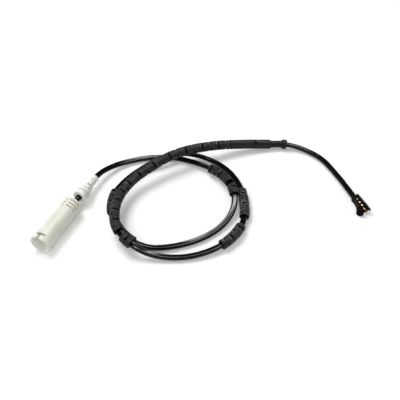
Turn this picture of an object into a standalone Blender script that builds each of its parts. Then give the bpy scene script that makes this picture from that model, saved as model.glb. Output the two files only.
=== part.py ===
# Brake pad wear sensor: a round plug on a short boot, a two-core cable in two
# loose turns with slotted guard sleeves on it, and a small clip-in sensor head.
# Metres, +Z up, -Y out of the plug's mouth. The origin is under the head.
import math

import bmesh
import bpy
from mathutils import Matrix, Vector

MM = 0.001

# Clearances
SEAT = 0.3 * MM
CUT_OVER = 1.0 * MM

# Cable
CABLE_RADIUS = 2.4 * MM
CABLE_ROUNDNESS = 3
STEP_MIN = 4.0 * CABLE_RADIUS
STEP_MAX = 6.0 * CABLE_RADIUS
STEP_TURN = math.radians(13.0)
FINE_STEPS = 24

# Plug, measured back from its mouth
PLUG_X = -220.2 * MM
PLUG_MOUTH_Y = -151.9 * MM
PLUG_LENGTH = 50.0 * MM
PLUG_RADIUS = 8.55 * MM
PLUG_AXIS_Z = PLUG_RADIUS + 0.05 * MM
PLUG_REAR_RADIUS = 7.9 * MM
PLUG_WALL = 1.1 * MM
PLUG_BORE = PLUG_RADIUS - PLUG_WALL
PLUG_EDGE = 0.3 * MM
PLUG_SIDES = 32
PLUG_REAR_ROUND = 1.3 * MM
PLUG_REAR_ARC_STEPS = 3
GROOVE_FIRST = 39.6 * MM
GROOVE_PITCH = 3.4 * MM
GROOVE_WIDTH = 1.0 * MM
GROOVE_DEPTH = 1.0 * MM
GROOVE_COUNT = 3
GROOVE_SPAN = math.radians(70.0)
GROOVE_MIDDLE = math.radians(-50.0)
GROOVE_QUARTERS = 4
GROOVE_ARC_STEPS = 6

# Bayonet slot in the top of the plug's mouth
TEE_BACK = 3.9 * MM
TEE_BAR_LENGTH = 7.7 * MM
TEE_BAR_WIDTH = 2.2 * MM
TEE_STEM_WIDTH = 2.2 * MM

# Keys inside the plug's mouth
KEY_ANGLES = (-28.0, -52.0, -76.0)
KEY_WIDTH = 1.1 * MM
KEY_HEIGHT = 0.7 * MM
KEY_BACK = 1.2 * MM
KEY_LENGTH = 11.0 * MM

# Contact carrier, contacts and rear seal in the plug
CARRIER_FRONT = 26.7 * MM
CARRIER_LENGTH = 8.0 * MM
CARRIER_RADIUS = PLUG_BORE - SEAT
CARRIER_RIM = 0.5 * MM
PIN_RADIUS = 0.8 * MM
PIN_SPACING = 5.2 * MM
PIN_REACH = 11.5 * MM
PIN_TAIL = 2.5 * MM
PIN_TIP = 0.6
PIN_HOLE_RADIUS = PIN_RADIUS + SEAT
PIN_SIDES = 12
SEAL_HOUSING_RADIUS = 5.2 * MM
SEAL_RADIUS = SEAL_HOUSING_RADIUS - SEAT
SEAL_LENGTH = 7.5 * MM
SEAL_SIDES = 20

# Threaded pieces: everything that the cable runs through
CABLE_HOLE = CABLE_RADIUS + 1.3 * SEAT
SLEEVE_RADIUS = 4.25 * MM
SLEEVE_WALL = 1.35 * MM
SLEEVE_BORE = SLEEVE_RADIUS - SLEEVE_WALL
SLEEVE_SIDES = 16

# Boot behind the plug, distances along the route
BOOT_START = 17.9 * MM
BOOT_RING_LENGTH = 4.7 * MM
BOOT_RING_RADIUS = 6.0 * MM
BOOT_RING_EDGE = 0.6 * MM
BOOT_CONE_LENGTH = 12.1 * MM
BOOT_TAIL_LENGTH = 9.4 * MM
BOOT_TAIL_RADIUS = 3.4 * MM
BOOT_HEEL_RADIUS = 1.12 * BOOT_TAIL_RADIUS
BOOT_NECK_RADIUS = 1.04 * BOOT_TAIL_RADIUS
BOOT_BELLY = 0.25
BOOT_BELLY_RADIUS = 0.96 * BOOT_RING_RADIUS
BOOT_SIDES = 24
BOOT_SLOT_BACK = 11.4 * MM
BOOT_SLOT_WIDTH = 1.0 * MM
BOOT_SLOT_DEPTH = 0.7 * MM
BOOT_SLOT_TURN = math.radians(-12.0)

# Slots in the guard sleeves, in pairs, each pair a quarter turn from the last
SLOT_PITCH = 5.85 * MM
SLOT_PITCH_WIDE = 8.25 * MM
SLOT_WIDE_FROM = 763.0 * MM
SLOT_END_WALL = 2.6 * MM
SLOT_WIDTH = 1.6 * MM
SLOT_FLOOR = 2.2 * MM
SLEEVE_TWIST = math.radians(0.25) / MM

# Guard sleeves: name, start and end along the route, one slot's place and its degrees from the left
SLEEVES = (
    ("sleeve_inner_right", 165.4 * MM, 193.4 * MM, 174.4 * MM, 35.0),
    ("collar_inner_right", 198.6 * MM, 208.0 * MM, 201.6 * MM, 60.0),
    ("sleeve_inner_front", 320.8 * MM, 345.6 * MM, 327.0 * MM, 90.0),
    ("sleeve_inner_left", 360.2 * MM, 385.0 * MM, 370.4 * MM, 45.0),
    ("sleeve_outer_right", 541.6 * MM, 572.6 * MM, 559.6 * MM, 68.0),
    ("sleeve_outer_front", 584.0 * MM, 609.8 * MM, 588.3 * MM, 53.0),
    ("collar_outer_front", 686.0 * MM, 695.0 * MM, 690.4 * MM, 90.0),
    ("sleeve_long", 701.2 * MM, 866.0 * MM, 711.3 * MM, 100.0),
)

# Guide tube and bracket grommet on the way to the head
GUIDE_START = SLEEVES[-1][2] + 2.0 * SEAT
GUIDE_LENGTH = 39.5 * MM
GUIDE_SEAM = 0.6 * MM
GUIDE_SEAM_ANGLE = math.radians(194.0)
GUIDE_HOLE_BACK = 14.6 * MM
GUIDE_HOLE_LENGTH = 1.5 * MM
GUIDE_HOLE_WIDTH = 0.9 * MM
GUIDE_HOLE_SIDES = 12
GROMMET_START = GUIDE_START + GUIDE_LENGTH + 2.0 * SEAT
GROMMET_NECK_LENGTH = 9.9 * MM
GROMMET_NECK_RADIUS = 3.2 * MM
GROMMET_BEAD_LENGTH = 5.2 * MM
GROMMET_BEAD_RADIUS = 4.55 * MM
BEAD_SHOULDER_RADIUS = 0.93 * GROMMET_BEAD_RADIUS
BEAD_SHOULDER = 0.1
BEAD_CROWN = 0.325
GROMMET_SIDES = 20

# Sensor head: along it from the cable's end, across it, and up
HEAD_X = -7.4 * MM
HEAD_Y = 7.57 * MM
HEAD_YAW = math.radians(-43.5)
HEAD_HEIGHT = 6.0 * MM
HEAD_LENGTH = 19.5 * MM
HEAD_LEFT = 3.3 * MM
HEAD_RIGHT = 2.5 * MM
CHANNEL_HALF = 1.4 * MM
CHANNEL_LIP = 0.1 * MM
CHANNEL_WALL = 0.8 * MM
RAIL_INNER = 1.2 * MM
RAIL_TIP = 0.8 * MM
RAIL_THICKNESS = 2.2 * MM
CHANNEL_START = 2.2 * MM
CHANNEL_FLOOR = 1.8 * MM
CHANNEL_ROOF = 5.3 * MM
FLOOR_END = 16.6 * MM
ROOF_END = 14.4 * MM
WINDOWS = ((3.2 * MM, 6.0 * MM), (7.1 * MM, 9.7 * MM), (10.6 * MM, 13.6 * MM))
LEG_START = 5.5 * MM
LEG_END = 13.3 * MM
LEG_OUT = 5.4 * MM
NUB_ALONG = 16.3 * MM
NUB_ACROSS = -4.3 * MM
NUB_RADIUS = 3.2 * MM
NUB_SIDES = 28
CLIP_THICKNESS = 0.6 * MM
CLIP_HALF = CHANNEL_HALF - SEAT
CLIP_RISE = 0.9 * MM
CLIP_END = 18.2 * MM

# The cable's route: from inside the plug, twice round, to the head
ROUTE = (
    (-220.2, -111.5, 8.6), (-220.2, -91.5, 8.6), (-220.2, -65.0, 8.4),
    (-217.5, -49.1, 6.0), (-209.6, -33.5, 3.4), (-193.8, -18.8, 2.5),
    (-173.8, -9.4, 2.5), (-156.7, -7.6, 3.0), (-139.6, -10.2, 5.0),
    (-122.9, -16.3, 7.6), (-108.3, -27.2, 9.6), (-99.2, -40.7, 8.5),
    (-96.4, -55.2, 4.7), (-100.0, -72.7, 2.6), (-109.7, -90.2, 2.5),
    (-124.4, -104.7, 2.5), (-140.6, -113.9, 2.6), (-154.8, -116.0, 4.6),
    (-168.5, -111.3, 4.6), (-181.5, -101.9, 4.5), (-192.1, -88.1, 4.5),
    (-197.5, -70.3, 4.6), (-196.8, -50.4, 2.9), (-190.1, -34.1, 4.6),
    (-180.0, -20.7, 7.8), (-168.0, -7.7, 8.1), (-152.8, 0.5, 4.8),
    (-135.4, 0.9, 2.9), (-117.7, -6.9, 3.4), (-101.4, -22.2, 4.6),
    (-90.2, -40.7, 4.5), (-84.1, -59.4, 4.5), (-85.6, -78.5, 4.9),
    (-93.4, -94.7, 4.0), (-106.5, -107.7, 2.7), (-122.0, -116.7, 2.6),
    (-137.6, -122.0, 5.0), (-150.8, -123.5, 9.8), (-163.4, -119.8, 12.7),
    (-174.7, -110.8, 14.2), (-183.8, -94.2, 13.4), (-187.6, -76.8, 12.6),
    (-186.3, -58.8, 12.5), (-179.6, -41.6, 14.2), (-169.7, -23.6, 16.2),
    (-156.6, -5.7, 15.5), (-138.5, 13.8, 11.7), (-118.5, 29.9, 7.6),
    (-99.5, 42.0, 5.0), (-82.8, 49.5, 4.5), (-65.2, 50.9, 3.0),
    (-46.2, 44.5, 2.6), (-27.4, 28.3, 2.7), (-14.6, 15.1, 3.0),
    (-7.9, 8.05, 3.0),
)

OFF_WHITE = (0.78, 0.77, 0.70)
WARM_WHITE = (0.80, 0.79, 0.75)
JET = (0.012, 0.012, 0.013)
SLEEVE_GREY = (0.055, 0.053, 0.050)
GUIDE_GREY = (0.045, 0.044, 0.043)
SEAL_GREY = (0.10, 0.10, 0.10)
HEAD_BLACK = (0.018, 0.018, 0.020)
NUB_BLACK = (0.012, 0.014, 0.018)
BRASS = (0.72, 0.55, 0.30)


# Shared by all pieces
def clear_scene():
    for old in list(bpy.data.objects):
        bpy.data.objects.remove(old, do_unlink=True)


def give_material(body, colour, roughness, metallic=0.0):
    material = bpy.data.materials.new(body.name)
    material.use_nodes = True
    shader = material.node_tree.nodes["Principled BSDF"]
    shader.inputs["Base Color"].default_value = (*colour, 1.0)
    shader.inputs["Roughness"].default_value = roughness
    shader.inputs["Metallic"].default_value = metallic
    body.data.materials.append(material)


def body_from(name, shape, smooth=True):
    """A named object from a bmesh, with its faces turned outward."""
    shape.normal_update()
    bmesh.ops.recalc_face_normals(shape, faces=shape.faces)
    mesh = bpy.data.meshes.new(name)
    shape.to_mesh(mesh)
    shape.free()
    if smooth:
        mesh.shade_smooth()
        mesh.set_sharp_from_angle(angle=math.radians(35.0))
    body = bpy.data.objects.new(name, mesh)
    bpy.context.scene.collection.objects.link(body)
    return body


def cut(body, cutter, operation="DIFFERENCE"):
    """Cut one body with another, or join the other on."""
    cutter.hide_render = True
    cutter.display_type = "WIRE"
    step = body.modifiers.new(cutter.name, "BOOLEAN")
    step.operation = operation
    step.solver = "EXACT"
    step.object = cutter


def add_block(shape, place, low, high):
    """A block between two corners, in the axes of place."""
    corners = bmesh.ops.create_cube(shape, size=1.0)["verts"]
    for corner in corners:
        local = [low[i] if corner.co[i] < 0 else high[i] for i in range(3)]
        corner.co = place @ Vector(local)


def block(name, place, low, high):
    shape = bmesh.new()
    add_block(shape, place, low, high)
    return body_from(name, shape, smooth=False)


def prism(name, place, outline, low, high):
    """An outline in the first two axes of place, raised along the third."""
    shape = bmesh.new()
    ring = [shape.verts.new(place @ Vector((x, y, low))) for x, y in outline]
    face = shape.faces.new(ring)
    raised = bmesh.ops.extrude_face_region(shape, geom=[face])["geom"]
    lift = place.to_3x3() @ Vector((0.0, 0.0, high - low))
    moved = [item for item in raised if isinstance(item, bmesh.types.BMVert)]
    bmesh.ops.translate(shape, verts=moved, vec=lift)
    return body_from(name, shape, smooth=False)


def turned(name, place, profile, sides):
    """A closed profile of (radius, height) turned about the third axis of place."""
    shape = bmesh.new()
    points = [shape.verts.new(place @ Vector((radius, 0.0, height))) for radius, height in profile]
    edges = [shape.edges.new((points[i - 1], points[i])) for i in range(len(points))]
    axis = place.to_3x3() @ Vector((0.0, 0.0, 1.0))
    bmesh.ops.spin(shape, geom=points + edges, cent=place.translation, axis=axis,
                   angle=math.tau, steps=sides, use_merge=True)
    bmesh.ops.remove_doubles(shape, verts=shape.verts, dist=0.001 * MM)
    return body_from(name, shape)


# The cable's path
def smooth_route():
    """A fine curve through the route's points, with the distance along it."""
    points = [Vector(point) * MM for point in ROUTE]
    points = [2.0 * points[0] - points[1]] + points + [2.0 * points[-1] - points[-2]]
    fine = []
    for i in range(1, len(points) - 2):
        before, start, end, after = points[i - 1:i + 3]
        for step in range(FINE_STEPS):
            t = step / FINE_STEPS
            pull = (end - before) * t + (2.0 * before - 5.0 * start + 4.0 * end - after) * t ** 2
            swing = (3.0 * start - before - 3.0 * end + after) * t ** 3
            fine.append(start + 0.5 * (pull + swing))
    fine.append(points[-2])
    marks = [0.0]
    for i in range(1, len(fine)):
        marks.append(marks[-1] + (fine[i] - fine[i - 1]).length)
    return fine, marks


def spaced_route():
    """The curve at two to three cable diameters a step, closer where it bends."""
    fine, marks = smooth_route()
    points = [fine[0]]
    places = [0.0]
    heading = fine[1] - fine[0]
    for i in range(1, len(fine) - 1):
        gone = marks[i] - places[-1]
        here = fine[i + 1] - fine[i]
        bent = here.angle(heading) > STEP_TURN
        if gone >= STEP_MAX or (gone >= STEP_MIN and bent):
            if marks[-1] - marks[i] < STEP_MIN:
                break
            points.append(fine[i])
            places.append(marks[i])
            heading = here
    points.append(fine[-1])
    places.append(marks[-1])
    return points, places


def section_place(line, distance):
    """Axes at a distance along the cable: to its left, up, and along it."""
    points, places = line
    after = 1
    while after < len(places) - 1 and places[after] <= distance:
        after += 1
    start, end = points[after - 1], points[after]
    share = (distance - places[after - 1]) / (places[after] - places[after - 1])
    centre = start.lerp(end, share)
    along = (end - start).normalized()
    if distance == places[after - 1] and after > 1:
        along = (along + (start - points[after - 2]).normalized()).normalized()
    across = Vector((0.0, 0.0, 1.0)).cross(along).normalized()
    up = along.cross(across)
    place = Matrix((across, up, along)).transposed().to_4x4()
    place.translation = centre
    return place


def threaded(name, line, stations, sides, seam=None):
    """A tube on the cable. A station is a distance, an outer and an inner radius."""
    first, last = stations[0][0], stations[-1][0]
    rings = list(stations)
    for distance in line[1]:
        clear = all(abs(distance - station[0]) > CABLE_RADIUS / 2.0 for station in stations)
        if first < distance < last and clear:
            before = max(i for i, station in enumerate(stations) if station[0] < distance)
            low, high = stations[before], stations[before + 1]
            share = (distance - low[0]) / (high[0] - low[0])
            outer = low[1] + share * (high[1] - low[1])
            bore = low[2] + share * (high[2] - low[2])
            rings.append((distance, outer, bore))
    rings.sort(key=lambda ring: ring[0])
    if seam:
        middle, width = seam
        half = width / 2.0 / stations[0][1]
        turns = [middle + half + (math.tau - 2.0 * half) * i / (sides - 1) for i in range(sides)]
    else:
        turns = [math.tau * i / sides for i in range(sides)]
    shape = bmesh.new()
    walls = []
    for distance, outer, inner in rings:
        place = section_place(line, distance)
        rounds = []
        for radius in (outer, inner):
            around = [Vector((math.cos(turn), math.sin(turn), 0.0)) * radius for turn in turns]
            rounds.append([shape.verts.new(place @ point) for point in around])
        walls.append(rounds)
    first_side = 1 if seam else 0
    for i in range(1, len(walls)):
        for j in range(first_side, sides):
            for k in (0, 1):
                quad = (walls[i - 1][k][j - 1], walls[i - 1][k][j], walls[i][k][j], walls[i][k][j - 1])
                shape.faces.new(quad)
        if seam:
            for j in (0, sides - 1):
                quad = (walls[i - 1][0][j], walls[i - 1][1][j], walls[i][1][j], walls[i][0][j])
                shape.faces.new(quad)
    for outer, inner in (walls[0], walls[-1]):
        for j in range(first_side, sides):
            shape.faces.new((outer[j - 1], outer[j], inner[j], inner[j - 1]))
    return body_from(name, shape)


# Plug
def plug_place(back):
    """Axes at a distance behind the plug's mouth: right, down, and back."""
    place = Matrix.Rotation(math.radians(-90.0), 4, "X")
    place.translation = Vector((PLUG_X, PLUG_MOUTH_Y + back, PLUG_AXIS_Z))
    return place


def add_arc_block(shape, place, inner, outer, back, middle):
    """A groove's worth of a ring: between two radii, over the groove's span."""
    half = GROOVE_SPAN / 2.0
    turns = [middle - half + GROOVE_SPAN * i / GROOVE_ARC_STEPS for i in range(GROOVE_ARC_STEPS + 1)]
    for start, end in zip(turns, turns[1:]):
        corners = []
        for height in (back, back + GROOVE_WIDTH):
            for turn, radius in ((start, inner), (start, outer), (end, outer), (end, inner)):
                spot = Vector((radius * math.cos(turn), radius * math.sin(turn), height))
                corners.append(shape.verts.new(place @ spot))
        front, rear = corners[:4], corners[4:]
        for i in (0, 1, 2, 3):
            after = (i + 1) % 4
            if i % 2 or (i == 0 and start == turns[0]) or (i == 2 and end == turns[-1]):
                shape.faces.new((front[i], front[after], rear[after], rear[i]))
        shape.faces.new(front)
        shape.faces.new(rear)
    bmesh.ops.remove_doubles(shape, verts=shape.verts, dist=0.001 * MM)


def make_plug_shell():
    profile = [(PLUG_BORE, 0.0), (PLUG_RADIUS - PLUG_EDGE, 0.0), (PLUG_RADIUS, PLUG_EDGE)]
    for i in range(PLUG_REAR_ARC_STEPS + 1):
        turn = math.radians(90.0) * i / PLUG_REAR_ARC_STEPS
        profile.append((PLUG_REAR_RADIUS - PLUG_REAR_ROUND * (1.0 - math.cos(turn)),
                        PLUG_LENGTH - PLUG_REAR_ROUND * (1.0 - math.sin(turn))))
    seat = CARRIER_FRONT + CARRIER_LENGTH + SEAT
    profile += [(SEAL_HOUSING_RADIUS, PLUG_LENGTH), (SEAL_HOUSING_RADIUS, seat), (PLUG_BORE, seat)]
    shell = turned("plug_shell", plug_place(0.0), profile, PLUG_SIDES)
    give_material(shell, OFF_WHITE, 0.42)

    bar_end = TEE_BACK + TEE_BAR_WIDTH
    half_bar = TEE_BAR_LENGTH / 2.0
    half_stem = TEE_STEM_WIDTH / 2.0
    tee = [(-half_stem, -CUT_OVER), (half_stem, -CUT_OVER), (half_stem, TEE_BACK), (half_bar, TEE_BACK),
           (half_bar, bar_end), (-half_bar, bar_end), (-half_bar, TEE_BACK), (-half_stem, TEE_BACK)]
    upright = plug_place(0.0) @ Matrix.Rotation(math.radians(90.0), 4, "X")
    cut(shell, prism("tee_cutter", upright, tee, PLUG_BORE - 2.0 * PLUG_WALL, PLUG_RADIUS + CUT_OVER))

    grooves = bmesh.new()
    floor = PLUG_REAR_RADIUS - GROOVE_DEPTH
    for i in range(GROOVE_COUNT):
        for quarter in range(GROOVE_QUARTERS):
            middle = GROOVE_MIDDLE + math.tau * quarter / GROOVE_QUARTERS
            add_arc_block(grooves, plug_place(0.0), floor, PLUG_RADIUS + CUT_OVER,
                          GROOVE_FIRST + i * GROOVE_PITCH, middle)
    cut(shell, body_from("groove_cutter", grooves, smooth=False))

    for i, angle in enumerate(KEY_ANGLES):
        place = plug_place(0.0) @ Matrix.Rotation(math.radians(-angle), 4, "Z")
        low = (PLUG_BORE - KEY_HEIGHT, -KEY_WIDTH / 2.0, KEY_BACK)
        high = (PLUG_BORE + PLUG_WALL / 2.0, KEY_WIDTH / 2.0, KEY_BACK + KEY_LENGTH)
        cut(shell, block(f"key_{i + 1}", place, low, high), "UNION")


def make_contact_carrier():
    back = CARRIER_LENGTH
    profile = [(0.0, 0.0), (CARRIER_RADIUS - CARRIER_RIM, 0.0), (CARRIER_RADIUS, CARRIER_RIM),
               (CARRIER_RADIUS, back), (0.0, back)]
    place = plug_place(CARRIER_FRONT)
    carrier = turned("contact_carrier", place, profile, PLUG_SIDES)
    give_material(carrier, WARM_WHITE, 0.5)
    hole = [(0.0, -CUT_OVER), (PIN_HOLE_RADIUS, -CUT_OVER),
            (PIN_HOLE_RADIUS, back + CUT_OVER), (0.0, back + CUT_OVER)]
    pin = [(0.0, -PIN_REACH), (PIN_RADIUS * PIN_TIP, -PIN_REACH), (PIN_RADIUS, -PIN_REACH + PIN_RADIUS),
           (PIN_RADIUS, back + PIN_TAIL), (0.0, back + PIN_TAIL)]
    for side, letter in ((-1.0, "a"), (1.0, "b")):
        spot = place @ Matrix.Translation((side * PIN_SPACING / 2.0, 0.0, 0.0))
        cut(carrier, turned(f"pin_hole_{letter}", spot, hole, PIN_SIDES))
        contact = turned(f"contact_pin_{letter}", spot, pin, PIN_SIDES)
        give_material(contact, BRASS, 0.3, 1.0)


def make_rear_seal():
    edge = SEAT
    start = PLUG_LENGTH - SEAL_LENGTH - edge
    end = PLUG_LENGTH - edge
    profile = [(CABLE_HOLE, start), (SEAL_RADIUS - edge, start), (SEAL_RADIUS, start + edge),
               (SEAL_RADIUS, end - edge), (SEAL_RADIUS - edge, end), (CABLE_HOLE, end)]
    seal = turned("rear_seal", plug_place(0.0), profile, SEAL_SIDES)
    give_material(seal, SEAL_GREY, 0.7)


# Boot
def make_boot(line):
    ring_end = BOOT_START + BOOT_RING_LENGTH
    stations = [(BOOT_START, BOOT_RING_RADIUS - BOOT_RING_EDGE, CABLE_HOLE),
                (BOOT_START + BOOT_RING_EDGE, BOOT_RING_RADIUS, CABLE_HOLE),
                (ring_end - SEAT, BOOT_RING_RADIUS, CABLE_HOLE),
                (ring_end, BOOT_RING_RADIUS - SEAT, CABLE_HOLE)]
    give_material(threaded("boot_ring", line, stations, BOOT_SIDES), WARM_WHITE, 0.45)

    cone_start = ring_end + SEAT
    cone_end = cone_start + BOOT_CONE_LENGTH
    tail_end = cone_end + BOOT_TAIL_LENGTH
    stations = [(cone_start, BOOT_RING_RADIUS - SEAT, CABLE_HOLE),
                (cone_start + SEAT, BOOT_RING_RADIUS, CABLE_HOLE),
                (cone_start + BOOT_BELLY * BOOT_CONE_LENGTH, BOOT_BELLY_RADIUS, CABLE_HOLE),
                (cone_end, BOOT_HEEL_RADIUS, CABLE_HOLE),
                (cone_end + 2.0 * SEAT, BOOT_NECK_RADIUS, CABLE_HOLE),
                (tail_end - SEAT, BOOT_TAIL_RADIUS, CABLE_HOLE),
                (tail_end, BOOT_TAIL_RADIUS - SEAT, CABLE_HOLE)]
    boot = threaded("cable_boot", line, stations, BOOT_SIDES)
    give_material(boot, WARM_WHITE, 0.45)
    slot_at = section_place(line, ring_end + BOOT_SLOT_BACK) @ Matrix.Rotation(BOOT_SLOT_TURN, 4, "Z")
    floor = BOOT_HEEL_RADIUS - BOOT_SLOT_DEPTH
    low = (-BOOT_RING_RADIUS, floor, -BOOT_SLOT_WIDTH / 2.0)
    high = (BOOT_RING_RADIUS, BOOT_RING_RADIUS, BOOT_SLOT_WIDTH / 2.0)
    cut(boot, block("boot_slot_cutter", slot_at, low, high))


# Cable
def make_cable(line):
    curve = bpy.data.curves.new("cable", "CURVE")
    curve.dimensions = "3D"
    curve.bevel_depth = CABLE_RADIUS
    curve.bevel_resolution = CABLE_ROUNDNESS
    curve.use_fill_caps = True
    spline = curve.splines.new("POLY")
    spline.points.add(len(line[0]) - 1)
    for knot, point in zip(spline.points, line[0]):
        knot.co = (*point, 1.0)
    cable = bpy.data.objects.new("cable", curve)
    bpy.context.scene.collection.objects.link(cable)
    give_material(cable, JET, 0.3)


# Guard sleeves
def slot_spots(start, end, marked):
    """Places of the slots on both sides of the marked one, with their quarter turns."""
    spots = []
    distance, quarters = marked, 0
    while distance > start + SLOT_END_WALL:
        spots.append((distance, quarters))
        distance -= SLOT_PITCH
        quarters += 1
    distance, quarters = marked + SLOT_PITCH, 1
    while distance < end - SLOT_END_WALL:
        spots.append((distance, quarters))
        distance += SLOT_PITCH if distance < SLOT_WIDE_FROM else SLOT_PITCH_WIDE
        quarters += 1
    return spots


def make_sleeve(line, name, start, end, marked, turn):
    stations = [(start, SLEEVE_RADIUS, SLEEVE_BORE), (end, SLEEVE_RADIUS, SLEEVE_BORE)]
    sleeve = threaded(name, line, stations, SLEEVE_SIDES)
    give_material(sleeve, SLEEVE_GREY, 0.62)
    reach = SLEEVE_RADIUS + CUT_OVER
    low = (SLOT_FLOOR, -reach, -SLOT_WIDTH / 2.0)
    high = (reach, reach, SLOT_WIDTH / 2.0)
    shape = bmesh.new()
    for distance, quarters in slot_spots(start, end, marked):
        tilt = math.radians(turn + 90.0 * quarters) + SLEEVE_TWIST * (distance - marked)
        place = section_place(line, distance) @ Matrix.Rotation(tilt, 4, "Z")
        add_block(shape, place, low, high)
        add_block(shape, place @ Matrix.Rotation(math.pi, 4, "Z"), low, high)
    cut(sleeve, body_from(f"{name}_slot_cutter", shape, smooth=False))


# Guide tube and grommet
def make_guide_tube(line):
    end = GUIDE_START + GUIDE_LENGTH
    stations = [(GUIDE_START, SLEEVE_RADIUS, SLEEVE_BORE), (end, SLEEVE_RADIUS, SLEEVE_BORE)]
    seam = (GUIDE_SEAM_ANGLE, GUIDE_SEAM)
    tube = threaded("guide_tube", line, stations, SLEEVE_SIDES + 1, seam)
    give_material(tube, GUIDE_GREY, 0.5)
    place = section_place(line, end - GUIDE_HOLE_BACK)
    oval = []
    for i in range(GUIDE_HOLE_SIDES):
        turn = math.tau * i / GUIDE_HOLE_SIDES
        oval.append((GUIDE_HOLE_WIDTH * math.cos(turn), GUIDE_HOLE_LENGTH * math.sin(turn)))
    upright = place @ Matrix.Rotation(math.radians(-90.0), 4, "X")
    cut(tube, prism("guide_hole_cutter", upright, oval, CABLE_RADIUS, SLEEVE_RADIUS + CUT_OVER))


def make_grommet(line):
    neck_end = GROMMET_START + GROMMET_NECK_LENGTH
    bead_end = neck_end + GROMMET_BEAD_LENGTH
    shoulder = BEAD_SHOULDER * GROMMET_BEAD_LENGTH
    crown = BEAD_CROWN * GROMMET_BEAD_LENGTH
    stations = [(GROMMET_START, GROMMET_NECK_RADIUS, CABLE_HOLE),
                (neck_end, GROMMET_NECK_RADIUS, CABLE_HOLE),
                (neck_end + shoulder, BEAD_SHOULDER_RADIUS, CABLE_HOLE),
                (neck_end + crown, GROMMET_BEAD_RADIUS, CABLE_HOLE),
                (bead_end - crown, GROMMET_BEAD_RADIUS, CABLE_HOLE),
                (bead_end - shoulder, BEAD_SHOULDER_RADIUS, CABLE_HOLE),
                (bead_end, GROMMET_NECK_RADIUS, CABLE_HOLE)]
    grommet = threaded("bracket_grommet", line, stations, GROMMET_SIDES)
    give_material(grommet, SEAL_GREY, 0.6)


# Sensor head
def head_place():
    return Matrix.Translation((HEAD_X, HEAD_Y, 0.0)) @ Matrix.Rotation(HEAD_YAW, 4, "Z")


def make_head_body():
    place = head_place()
    floor_side = -CHANNEL_HALF - CHANNEL_WALL
    outline = [(0.0, -HEAD_RIGHT), (LEG_START, -HEAD_RIGHT), (LEG_END, -LEG_OUT), (LEG_END, floor_side),
               (FLOOR_END, floor_side), (FLOOR_END, RAIL_INNER), (HEAD_LENGTH, HEAD_LEFT - RAIL_TIP),
               (HEAD_LENGTH, HEAD_LEFT), (0.0, HEAD_LEFT)]
    body = prism("head_body", place, outline, 0.0, HEAD_HEIGHT)
    give_material(body, HEAD_BLACK, 0.4)
    past_tip = HEAD_LENGTH + CUT_OVER
    cut(body, block("tunnel_cutter", place, (CHANNEL_START, -CHANNEL_HALF, CHANNEL_FLOOR),
                    (past_tip, CHANNEL_HALF, CHANNEL_ROOF)))
    top = HEAD_HEIGHT + CUT_OVER
    window_half = CHANNEL_HALF - CHANNEL_LIP
    for i, (start, end) in enumerate(WINDOWS):
        cut(body, block(f"window_cutter_{i + 1}", place, (start, -window_half, CHANNEL_FLOOR + CUT_OVER),
                        (end, window_half, top)))
    cut(body, block("tip_cutter", place, (ROOF_END, floor_side - CUT_OVER, CHANNEL_FLOOR + CHANNEL_LIP),
                    (past_tip, window_half, top)))
    cut(body, block("rail_cutter", place, (FLOOR_END, floor_side, -CUT_OVER),
                    (past_tip, HEAD_LEFT + CUT_OVER, HEAD_HEIGHT - RAIL_THICKNESS)))


def make_wear_nub():
    place = head_place()
    flat = LEG_END + SEAT
    outline = []
    for i in range(NUB_SIDES):
        turn = math.tau * i / NUB_SIDES
        along = NUB_ALONG + NUB_RADIUS * math.cos(turn)
        across = NUB_ACROSS + NUB_RADIUS * math.sin(turn)
        outline.append((max(along, flat), min(across, -CHANNEL_HALF - CHANNEL_WALL - SEAT)))
    kept = [point for i, point in enumerate(outline) if point != outline[i - 1]]
    nub = prism("wear_nub", place, kept, 0.0, HEAD_HEIGHT)
    give_material(nub, NUB_BLACK, 0.3)


def make_spring_clip():
    place = head_place() @ Matrix.Rotation(math.radians(90.0), 4, "X")
    crest = CHANNEL_ROOF - CLIP_THICKNESS - SEAT
    start = CHANNEL_START + SEAT
    tip = crest - CLIP_THICKNESS
    path = [(start, crest - CLIP_RISE), (start + CLIP_RISE, crest), (WINDOWS[2][1] - SEAT, crest),
            (ROOF_END, tip), (CLIP_END, tip)]
    outline = path + [(along, height + CLIP_THICKNESS) for along, height in reversed(path)]
    clip = prism("spring_clip", place, outline, -CLIP_HALF, CLIP_HALF)
    give_material(clip, BRASS, 0.3, 1.0)


clear_scene()
cable_line = spaced_route()
make_plug_shell()
make_contact_carrier()
make_rear_seal()
make_boot(cable_line)
make_cable(cable_line)
for sleeve in SLEEVES:
    make_sleeve(cable_line, *sleeve)
make_guide_tube(cable_line)
make_grommet(cable_line)
make_head_body()
make_wear_nub()
make_spring_clip()
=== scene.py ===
import math

import bmesh
import bpy
from mathutils import Matrix, Vector, kdtree, noise


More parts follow.
